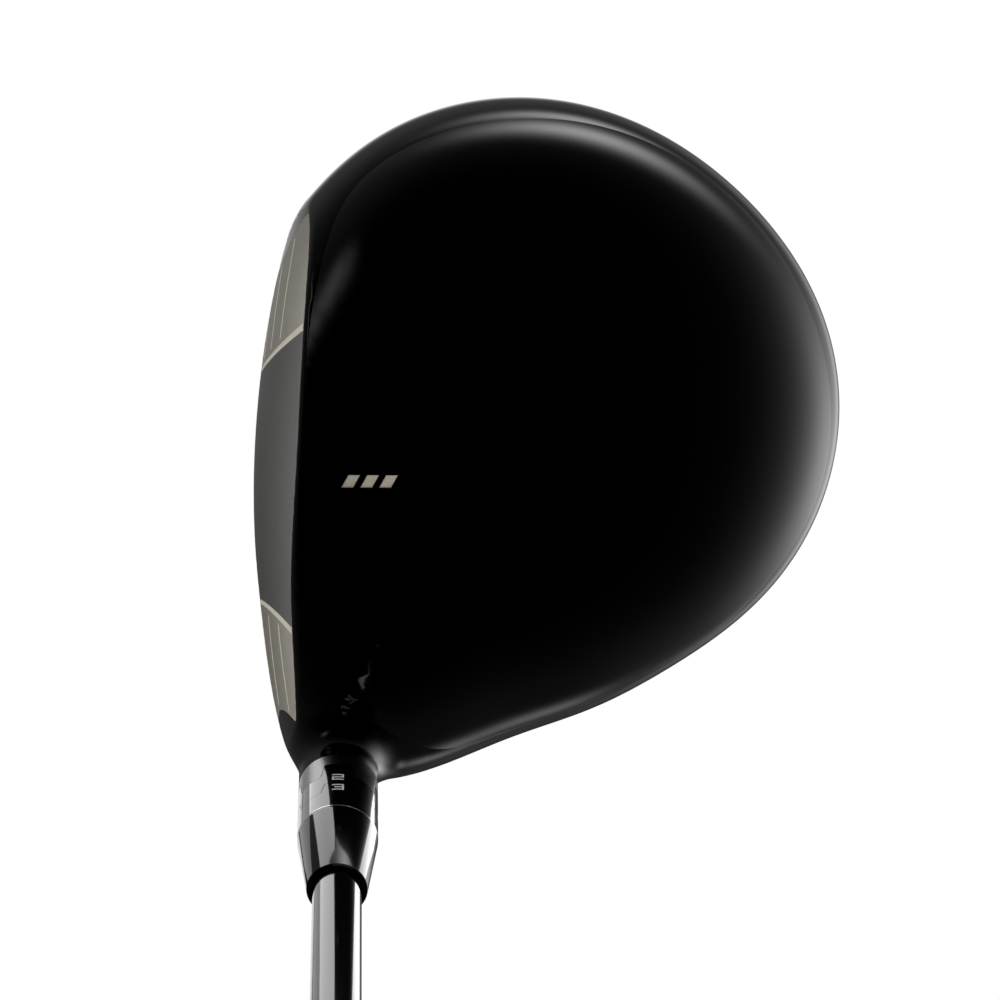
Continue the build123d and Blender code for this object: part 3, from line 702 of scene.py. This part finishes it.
def grip_pattern(radius, along, angle):
    """Rows of small pads, with plain bands at the mouth, the middle and the cap."""
    if radius < 8.5:
        return 0.0
    plain = min(
        smooth(GRIP_START + 8, GRIP_START + 12, along),
        1 - smooth(BUTT_END - 17, BUTT_END - 13, along),
        min(abs(along - BAND_AT) / BAND_HALF, 1.0),
    )
    row = (along - GRIP_START) / GRIP_ROW
    stagger = 0.5 * (math.floor(row) % 2)
    across = (angle / math.tau * GRIP_RIBS + stagger) % 1
    pad = smooth(0.06, 0.2, min(across, 1 - across)) * smooth(0.08, 0.26, min(row % 1, 1 - row % 1))
    return -PAD_DEPTH * (1 - pad) * float(plain)


grip_steps = np.linspace(GRIP_START + 2, SHAFT_END - 0.6, 560)
grip_profile = [(GRIP_BORE, GRIP_START), (8.2, GRIP_START), (8.7, GRIP_START + 0.5)]
grip_profile += [(grip_radius(along), along) for along in grip_steps]
grip_profile += [(12.9, SHAFT_END - 0.1), (12.6, SHAFT_END), (GRIP_BORE, SHAFT_END)]
grip = turned("grip_sleeve", grip_profile, 240, grip_pattern)
cap = turned("grip_cap_turned", [
    (1.4, SHAFT_END - 3), (6.5, SHAFT_END - 3), (6.5, SHAFT_END), (12.7, SHAFT_END),
    (13.1, SHAFT_END + 0.2), (13.2, SHAFT_END + 0.6), (13.2, SHAFT_END + 2.0),
    (12.95, SHAFT_END + 3.1), (12.3, SHAFT_END + 4.1),
    (11.3, SHAFT_END + 4.75), (10.2, SHAFT_END + 5.0), (9.2, SHAFT_END + 5.0), (8.9, SHAFT_END + 4.7),
    (8.3, SHAFT_END + 4.7), (8.0, SHAFT_END + 5.0), (4.2, SHAFT_END + 5.0), (3.9, SHAFT_END + 4.75),
    (3.4, SHAFT_END + 4.75), (3.1, SHAFT_END + 5.0), (1.7, SHAFT_END + 5.0), (1.4, SHAFT_END + 4.7),
], 128)
for piece, node in (
    (trim, "ferrule_trim"), (ferrule, "ferrule"), (shaft, "shaft"), (grip, "grip"), (cap, "grip_cap"),
):
    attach(piece, "shaft_assembly")
    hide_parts(node)


# ---------------------------------------------------------------- materials
class Shade:
    """A node material with one Principled shader, and short names for the nodes that feed it."""

    def __init__(self, name, colour, **settings):
        self.material = bpy.data.materials.new(name)
        self.material.use_nodes = True
        self.tree = self.material.node_tree
        self.shader = self.tree.nodes["Principled BSDF"]
        self.shader.inputs["Base Color"].default_value = (*colour, 1)
        for key, value in settings.items():
            socket = key.replace("_", " ").title().replace("Ior", "IOR")
            self.shader.inputs[socket].default_value = value
        self.place = self.tree.nodes.new("ShaderNodeTexCoord").outputs["Object"]

    def node(self, kind, links=None, **values):
        made = self.tree.nodes.new(kind)
        for key, value in values.items():
            if hasattr(made, key):
                setattr(made, key, value)
            else:
                made.inputs[key.replace("_", " ").title()].default_value = value
        for key, source in (links or {}).items():
            self.tree.links.new(source, made.inputs[key])
        return made

    def noise(self, scale, detail=3.0, stretch=(1, 1, 1)):
        mapped = self.node("ShaderNodeMapping", {"Vector": self.place}, vector_type="POINT")
        mapped.inputs["Scale"].default_value = stretch
        links = {"Vector": mapped.outputs["Vector"]}
        return self.node("ShaderNodeTexNoise", links, scale=scale, detail=detail).outputs["Fac"]

    def spread(self, source, low, high, out_low, out_high):
        made = self.node("ShaderNodeMapRange", {"Value": source})
        limits = {"From Min": low, "From Max": high, "To Min": out_low, "To Max": out_high}
        for key, value in limits.items():
            made.inputs[key].default_value = value
        return made.outputs["Result"]

    def colours(self, source, stops):
        made = self.node("ShaderNodeValToRGB", {"Fac": source})
        ramp = made.color_ramp
        while len(ramp.elements) < len(stops):
            ramp.elements.new(0.5)
        for element, (at, colour) in zip(ramp.elements, stops):
            element.position = at
            element.color = (*colour, 1)
        return made.outputs["Color"]

    def set(self, socket, source):
        self.tree.links.new(source, self.shader.inputs[socket])

    def bump(self, source, strength, depth, before=None):
        links = {"Height": source}
        if before is not None:
            links["Normal"] = before
        made = self.node("ShaderNodeBump", links, strength=strength, distance=depth)
        self.tree.links.new(made.outputs["Normal"], self.shader.inputs["Normal"])
        return made.outputs["Normal"]

    def give(self, thing):
        thing.data.materials.clear()
        thing.data.materials.append(self.material)


lacquer = Shade(
    "gloss_black_lacquer", (0.0012, 0.0012, 0.0013), roughness=0.10, coat_weight=1.0, coat_roughness=0.03,
)
lacquer.set("Base Color", lacquer.colours(lacquer.noise(14000, 2), (
    (0.35, (0.0006, 0.0006, 0.0006)), (0.62, (0.0013, 0.0013, 0.0014)), (0.8, (0.005, 0.005, 0.0055)),
)))
lacquer.set("Roughness", lacquer.spread(lacquer.noise(2600, 3), 0.3, 0.7, 0.07, 0.10))
lacquer.bump(lacquer.noise(420, 2), 0.012, 0.00006)

face_dark = Shade("face_centre_textured", (0.035, 0.032, 0.025), metallic=0.9, roughness=0.34)
face_grain = face_dark.node(
    "ShaderNodeTexVoronoi", {"Vector": face_dark.place}, scale=1900, randomness=0.55,
)
face_dots = face_grain.outputs["Distance"]
face_dark.set("Base Color", face_dark.colours(face_dots, (
    (0.15, (0.050, 0.046, 0.036)), (0.55, (0.020, 0.018, 0.014)),
)))
face_dark.set("Roughness", face_dark.spread(face_dark.noise(2600, 2), 0.3, 0.7, 0.30, 0.38))
face_dark.bump(face_dots, 0.35, 0.00003)

face_light = Shade("face_side_brushed", (0.34, 0.325, 0.265), metallic=0.9, roughness=0.34)
face_light.set("Base Color", face_light.colours(face_light.noise(4200, 3, (0.06, 1, 1)), (
    (0.3, (0.29, 0.272, 0.212)), (0.7, (0.40, 0.376, 0.294)),
)))
face_streaks = face_light.noise(3800, 3, (0.06, 1, 1))
face_light.set("Roughness", face_light.spread(face_streaks, 0.3, 0.7, 0.28, 0.36))
face_light.bump(face_light.noise(5200, 2, (0.05, 1, 1)), 0.12, 0.00002)

gold = Shade("pale_gold_fill", (0.80, 0.74, 0.58), metallic=0.2, roughness=0.42)
gold.set("Base Color", gold.colours(gold.noise(900, 3), (
    (0.3, (0.74, 0.68, 0.52)), (0.7, (0.86, 0.80, 0.65)),
)))
gold.bump(gold.noise(2500, 2), 0.15, 0.00003)

mark_paint = Shade(
    "champagne_mark", (0.58, 0.53, 0.41), metallic=0.5, roughness=0.35,
    coat_weight=0.6, coat_roughness=0.08,
)
mark_paint.set("Base Color", mark_paint.colours(mark_paint.noise(2600, 2), (
    (0.3, (0.52, 0.47, 0.36)), (0.7, (0.64, 0.59, 0.47)),
)))

titanium = Shade("satin_titanium", (0.20, 0.20, 0.20), metallic=1.0, roughness=0.28)
titanium.set("Base Color", titanium.colours(titanium.noise(6000, 3), (
    (0.3, (0.18, 0.18, 0.178)), (0.7, (0.23, 0.23, 0.228)),
)))
titanium.set("Roughness", titanium.spread(titanium.noise(5000, 3), 0.3, 0.7, 0.25, 0.33))
titanium.bump(titanium.noise(7000, 2), 0.06, 0.00002)

anodised = Shade(
    "gloss_black_anodised", (0.003, 0.003, 0.003), metallic=0.0, roughness=0.10,
    coat_weight=1.0, coat_roughness=0.04,
)
anodised.set("Roughness", anodised.spread(anodised.noise(6000, 3), 0.3, 0.7, 0.08, 0.12))
anodised.set("Base Color", anodised.colours(anodised.noise(1500, 3), (
    (0.3, (0.002, 0.002, 0.002)), (0.7, (0.004, 0.004, 0.004)),
)))

ink = Shade("white_print", (0.80, 0.80, 0.79), roughness=0.5)
ink.set("Base Color", ink.colours(ink.noise(2500, 3), (
    (0.3, (0.72, 0.72, 0.71)), (0.6, (0.84, 0.84, 0.83)),
)))

chrome = Shade("polished_trim", (0.82, 0.82, 0.83), metallic=1.0, roughness=0.12)
chrome.set("Roughness", chrome.spread(chrome.noise(1200, 3), 0.3, 0.7, 0.08, 0.18))

ferrule_look = Shade(
    "polished_black_plastic", (0.0015, 0.0015, 0.0015), roughness=0.10,
    coat_weight=1.0, coat_roughness=0.03,
)
ferrule_look.set("Roughness", ferrule_look.spread(ferrule_look.noise(3000, 3), 0.3, 0.7, 0.08, 0.12))
ferrule_look.bump(ferrule_look.noise(700, 2), 0.006, 0.00005)

carbon = Shade(
    "clear_coated_black_shaft", (0.002, 0.002, 0.002), roughness=0.12, specular_ior_level=0.9,
    coat_weight=1.0, coat_roughness=0.03,
)
carbon.set("Base Color", carbon.colours(carbon.noise(1600, 3, (1, 1, 0.15)), (
    (0.3, (0.0012, 0.0012, 0.0012)), (0.7, (0.003, 0.003, 0.003)),
)))
carbon.set("Roughness", carbon.spread(carbon.noise(5000, 3, (1, 1, 0.2)), 0.3, 0.7, 0.10, 0.14))

rubber = Shade("grip_rubber", (0.022, 0.022, 0.023), roughness=0.72, sheen_weight=0.15, sheen_roughness=0.5)
rubber.set("Base Color", rubber.colours(rubber.noise(500, 5), (
    (0.3, (0.016, 0.016, 0.017)), (0.7, (0.032, 0.032, 0.033)),
)))
rubber.set("Roughness", rubber.spread(rubber.noise(1500, 3), 0.3, 0.7, 0.6, 0.85))
rubber.bump(rubber.noise(2600, 4), 0.4, 0.00008)

cap_rubber = Shade("cap_rubber", (0.018, 0.018, 0.019), roughness=0.55)
cap_rubber.set("Roughness", cap_rubber.spread(cap_rubber.noise(1200, 3), 0.3, 0.7, 0.45, 0.65))
cap_rubber.bump(cap_rubber.noise(2000, 3), 0.25, 0.00006)

paper = Shade("paper_tape", (0.72, 0.66, 0.50), roughness=0.8)
paper.set("Base Color", paper.colours(paper.noise(400, 5), (
    (0.3, (0.64, 0.58, 0.43)), (0.7, (0.76, 0.70, 0.54)),
)))
paper.bump(paper.noise(900, 4), 0.3, 0.0001)

steel = Shade("dark_oxide_steel", (0.13, 0.13, 0.135), metallic=1.0, roughness=0.34)
steel.set("Roughness", steel.spread(steel.noise(1300, 3), 0.3, 0.7, 0.26, 0.44))
steel.set("Base Color", steel.colours(steel.noise(800, 4), (
    (0.3, (0.10, 0.10, 0.105)), (0.7, (0.17, 0.17, 0.175)),
)))

tungsten = Shade("satin_weight_alloy", (0.30, 0.30, 0.305), metallic=1.0, roughness=0.34)
tungsten.set("Base Color", tungsten.colours(tungsten.noise(900, 4), (
    (0.3, (0.25, 0.25, 0.255)), (0.7, (0.35, 0.35, 0.355)),
)))
tungsten.set("Roughness", tungsten.spread(tungsten.noise(1800, 3), 0.3, 0.7, 0.26, 0.42))
tungsten.bump(tungsten.noise(2600, 2), 0.15, 0.00003)

for piece, shade, slot in (
    (crown, lacquer, "body_black"),
    (body, lacquer, "body_black"),
    (face_centre, face_dark, "face_champagne"),
    (face_sides, face_light, "face_champagne"),
    (score_lines, gold, "face_line"),
    (zone_lines, gold, "face_line"),
    (mark, mark_paint, "crown_mark"),
    (trim, chrome, "trim_bright"),
    (ferrule, ferrule_look, "ferrule_black"),
    (shaft, carbon, "shaft_black"),
    (grip, rubber, "grip_rubber"),
    (cap, cap_rubber, "cap_rubber"),
):
    shade.give(piece)
for node, shade in (
    ("hosel_tube", titanium), ("weight_boss", lacquer), ("setting_ring", anodised),
    ("shaft_sleeve", anodised), ("ring_numerals", ink), ("sleeve_numerals", ink), ("grip_tape", paper),
    ("hosel_screw", steel),
    ("screw_washer", steel), ("rear_weight_screw", steel), ("rear_weight", tungsten),
):
    shade.give(nodes[node])

# ---------------------------------------------------------------- floor, light and camera
FLOOR_REACH, FLOOR_DROP = 6.0, 0.0002

floor_mesh = bpy.data.meshes.new("floor")
floor_corners = [(FLOOR_REACH * x, FLOOR_REACH * y, 0) for x, y in ((-1, -1), (1, -1), (1, 1), (-1, 1))]
floor_mesh.from_pydata(floor_corners, [], [(0, 1, 2, 3)])
floor = bpy.data.objects.new("floor", floor_mesh)
scene.collection.objects.link(floor)
floor.location.z = -FLOOR_DROP
floor_look = bpy.data.materials.new("pale_floor")
floor_look.use_nodes = True
floor_shader = floor_look.node_tree.nodes["Principled BSDF"]
floor_shader.inputs["Base Color"].default_value = (0.86, 0.86, 0.86, 1)
floor_shader.inputs["Roughness"].default_value = 0.9
floor_shader.inputs["Specular IOR Level"].default_value = 0.1
floor_shader.inputs["Emission Color"].default_value = (1, 1, 1, 1)
floor_shader.inputs["Emission Strength"].default_value = 1.0
floor_mesh.materials.append(floor_look)

floor.visible_glossy = False
floor.visible_shadow = False

# What the glossy pieces mirror: soft glows round a dark studio, given as direction in degrees
# (azimuth from +X towards +Y, elevation), spread in both, and strength.
GLOWS = (
    (84.0, -18.0, 26.0, 28.0, 1.6),
    (90.0, -50.0, 40.0, 14.0, 0.8),
    (160.0, -6.0, 20.0, 10.0, 2.2),
    (22.0, -29.0, 8.0, 9.0, 0.55),
    (-165.0, -76.0, 34.0, 12.0, 1.2),
    (-126.0, 36.0, 6.0, 9.0, 0.35),
    (-170.0, -30.0, 60.0, 30.0, 0.08),
)
HORIZON_LEVEL, ZENITH_LEVEL = 0.03, 0.0

world = bpy.data.worlds.new("studio")
scene.world = world
world.use_nodes = True
tree = world.node_tree
tree.nodes.clear()


def math_node(operation, first, second=None, clamp=False):
    made = tree.nodes.new("ShaderNodeMath")
    made.operation = operation
    made.use_clamp = clamp
    for socket, source in zip(made.inputs, (first, second)):
        if isinstance(source, (int, float)):
            socket.default_value = source
        elif source is not None:
            tree.links.new(source, socket)
    return made.outputs["Value"]


coordinates = tree.nodes.new("ShaderNodeTexCoord")
split_node = tree.nodes.new("ShaderNodeSeparateXYZ")
tree.links.new(coordinates.outputs["Generated"], split_node.inputs["Vector"])
azimuth = math_node("ARCTAN2", split_node.outputs["Y"], split_node.outputs["X"])
elevation = math_node("ARCSINE", split_node.outputs["Z"])
fall = tree.nodes.new("ShaderNodeMapRange")
fall.interpolation_type = "SMOOTHSTEP"
for key, value in (
    ("From Min", 0.15), ("From Max", 0.75), ("To Min", HORIZON_LEVEL), ("To Max", ZENITH_LEVEL),
):
    fall.inputs[key].default_value = value
tree.links.new(split_node.outputs["Z"], fall.inputs["Value"])
level = fall.outputs["Result"]
for glow_azimuth, glow_elevation, wide, high, strength in GLOWS:
    turn = math_node("SUBTRACT", azimuth, math.radians(glow_azimuth))
    turn = math_node("WRAP", turn, math.pi)
    turn.node.inputs[2].default_value = -math.pi
    across = math_node("DIVIDE", turn, math.radians(wide))
    climb = math_node("SUBTRACT", elevation, math.radians(glow_elevation))
    rise = math_node("DIVIDE", climb, math.radians(high))
    square = math_node("ADD", math_node("MULTIPLY", across, across), math_node("MULTIPLY", rise, rise))
    glow = math_node("EXPONENT", math_node("MULTIPLY", square, -1.0))
    level = math_node("ADD", level, math_node("MULTIPLY", glow, strength))
paths = tree.nodes.new("ShaderNodeLightPath")
studio = tree.nodes.new("ShaderNodeBackground")
plain = tree.nodes.new("ShaderNodeBackground")
mixed = tree.nodes.new("ShaderNodeMixShader")
output = tree.nodes.new("ShaderNodeOutputWorld")
plain.inputs["Color"].default_value = (1, 1, 1, 1)
tree.links.new(level, studio.inputs["Strength"])
studio.inputs["Color"].default_value = (1, 1, 1, 1)
tree.links.new(paths.outputs["Is Camera Ray"], mixed.inputs["Fac"])
tree.links.new(studio.outputs["Background"], mixed.inputs[1])
tree.links.new(plain.outputs["Background"], mixed.inputs[2])
tree.links.new(mixed.outputs["Shader"], output.inputs["Surface"])


def card(name, aim, azimuth_deg, elevation_deg, distance, size, level, receivers):
    """A soft rectangular light seen from a point in a direction, lighting only some pieces."""
    light = bpy.data.lights.new(name, "AREA")
    light.shape = "RECTANGLE"
    light.size, light.size_y = size
    light.energy = level * math.pi * size[0] * size[1]
    lamp = bpy.data.objects.new(name, light)
    scene.collection.objects.link(lamp)
    a, e = math.radians(azimuth_deg), math.radians(elevation_deg)
    away = Vector((math.cos(a) * math.cos(e), math.sin(a) * math.cos(e), math.sin(e)))
    lamp.location = Vector(aim) + away * distance
    lamp.rotation_euler = away.to_track_quat("Z", "Y").to_euler()
    lamp.visible_camera = False
    group = bpy.data.collections.new(name + "_lit")
    for thing in receivers:
        group.objects.link(thing)
    lamp.light_linking.receiver_collection = group
    return lamp


shaft_group = [shaft, ferrule, trim] + [nodes[n] for n in (
    "setting_ring", "shaft_sleeve", "ring_numerals", "sleeve_numerals", "hosel_tube",
)]
face_group = [face_centre, face_sides, score_lines, zone_lines]
printed_group = [mark, grip, cap, shaft, nodes["grip_tape"]]
numeral_group = [nodes[n] for n in ("ring_numerals", "sleeve_numerals")]
at_hosel, at_face, at_head = (0.075, -0.0285, 0.08), (0.0, -0.045, 0.03), (0.0, 0.0, 0.03)
card("toe_side_card", at_hosel, -156.5, -30, 1.2, (0.80, 1.0), 2.0, shaft_group)
card("low_toe_card", at_hosel, -117, -48, 1.2, (0.48, 0.55), 0.6, shaft_group)
card("nadir_card", at_hosel, -88, -74, 1.2, (0.50, 0.40), 0.9, shaft_group)
card("back_low_card", at_hosel, 119, -42, 1.2, (0.48, 0.98), 2.6, shaft_group)
card("front_low_card", at_face, -84, -50, 1.2, (1.0, 0.3), 2.0, face_group)
card("front_card", at_face, -90, 18, 1.6, (1.6, 0.8), 0.8, face_group)
card("top_card", at_head, 80, 78, 1.6, (1.4, 1.4), 1.0, printed_group)
card("numeral_card", at_hosel, 80, 78, 1.6, (1.4, 1.4), 2.2, numeral_group)

scene.view_settings.view_transform = "Standard"

camera_data = bpy.data.cameras.new("camera")
camera = bpy.data.objects.new("camera", camera_data)
scene.collection.objects.link(camera)
scene.camera = camera
camera_data.lens = 134.57
camera_data.sensor_width = 36.0
camera_data.clip_start, camera_data.clip_end = 0.01, 50.0
CAMERA_AT = (0.054688, -0.024739, 0.729551)
CAMERA_RIGHT = (0.0, 0.99929329, 0.03758874)
CAMERA_UP = (-0.99720627, -0.00280777, 0.07464431)
CAMERA_BACK = (0.0746971, -0.03748373, 0.99650154)
camera.matrix_world = Matrix((
    (CAMERA_RIGHT[0], CAMERA_UP[0], CAMERA_BACK[0], CAMERA_AT[0]),
    (CAMERA_RIGHT[1], CAMERA_UP[1], CAMERA_BACK[1], CAMERA_AT[1]),
    (CAMERA_RIGHT[2], CAMERA_UP[2], CAMERA_BACK[2], CAMERA_AT[2]),
    (0, 0, 0, 1),
))

# ---------------------------------------------------------------- the end
bpy.context.view_layer.update()
